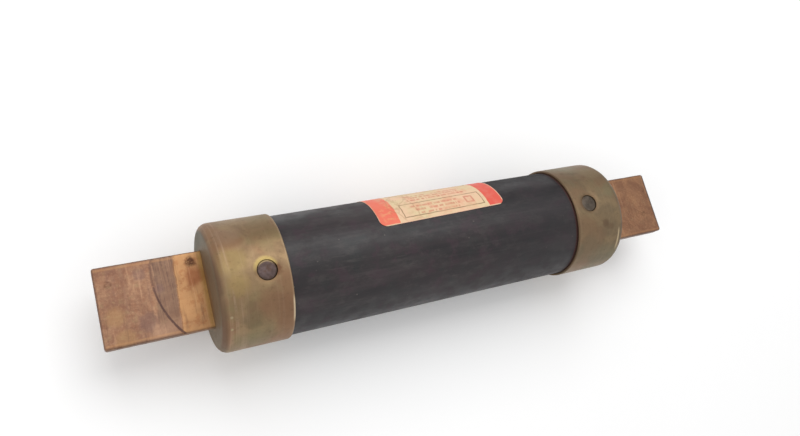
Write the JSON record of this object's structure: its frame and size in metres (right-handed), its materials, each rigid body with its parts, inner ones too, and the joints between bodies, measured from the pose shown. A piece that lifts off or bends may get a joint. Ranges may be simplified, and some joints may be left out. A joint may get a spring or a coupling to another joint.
{
  "type": "cartridge fuse",
  "caption": "Knife-blade cartridge fuse: fibre tube with brass end caps and copper blades for spring clips, time-delay elements, sand and trigger inside.",
  "frame": {"origin": "middle of the fuse on the tube's axis", "axes": "+X along the fuse, +Z out of the broad faces of the blades, on the side of the label's lower edge; +Y across the blades, towards the label"},
  "size_m": [0.2444, 0.0466, 0.0466],
  "materials": {
    "tube_fibre": "satin laminated fibre, near black, faint streaks along its length",
    "label_paper": "printed paper, orange-red ends and a cream field with thin frame lines, no lettering",
    "cap_brass": "aged drawn brass, blotchy brown and olive tarnish",
    "blade_copper": "bare copper, brown oxide and long scratches",
    "plug_brass": "turned brass",
    "pin_steel": "dark drawn steel",
    "washer_fibre": "grey vulcanised fibre",
    "link_copper": "thin rolled copper strip, punched",
    "quartz_sand": "packed quartz grains",
    "block_copper": "machined copper",
    "fusing_alloy": "dull cast low-melting alloy",
    "mica": "pressed mica",
    "spring_steel": "drawn spring wire"
  },
  "bodies": {
    "fuse_body": {"fibre_tube": "tube_fibre", "paper_label": "label_paper", "end_cap_left": "cap_brass", "end_cap_right": "cap_brass", "knife_blade_left": "blade_copper", "knife_blade_right": "blade_copper", "terminal_plug_left": "plug_brass", "terminal_plug_right": "plug_brass", "cap_pins_left": "pin_steel", "cap_pins_right": "pin_steel", "fill_plug_left": "plug_brass", "fill_plug_right": "plug_brass", "heat_washer_left": "washer_fibre", "heat_washer_right": "washer_fibre", "short_link_left_upper": "link_copper", "short_link_left_lower": "link_copper", "short_link_right_upper": "link_copper", "short_link_right_lower": "link_copper", "sand_fill_left": "quartz_sand", "sand_fill_right": "quartz_sand", "barrier_disc_left": "washer_fibre", "barrier_disc_right": "washer_fibre", "heat_absorber": "block_copper", "fusing_alloy": "fusing_alloy", "spring_seat": "mica", "trigger_sleeve": "washer_fibre", "contact_block": "block_copper", "stop_washer": "mica", "trigger_spring": "spring_steel"},
    "trigger": {"trigger_plunger": "block_copper", "spring_collar": "spring_steel"}
  },
  "joints": [
    {"name": "trigger_slide", "type": "slide", "parent": "fuse_body", "child": "trigger", "axis": [1, 0, 0], "range_m": [0, 0.01], "deforming": ["trigger_spring"]}
  ]
}
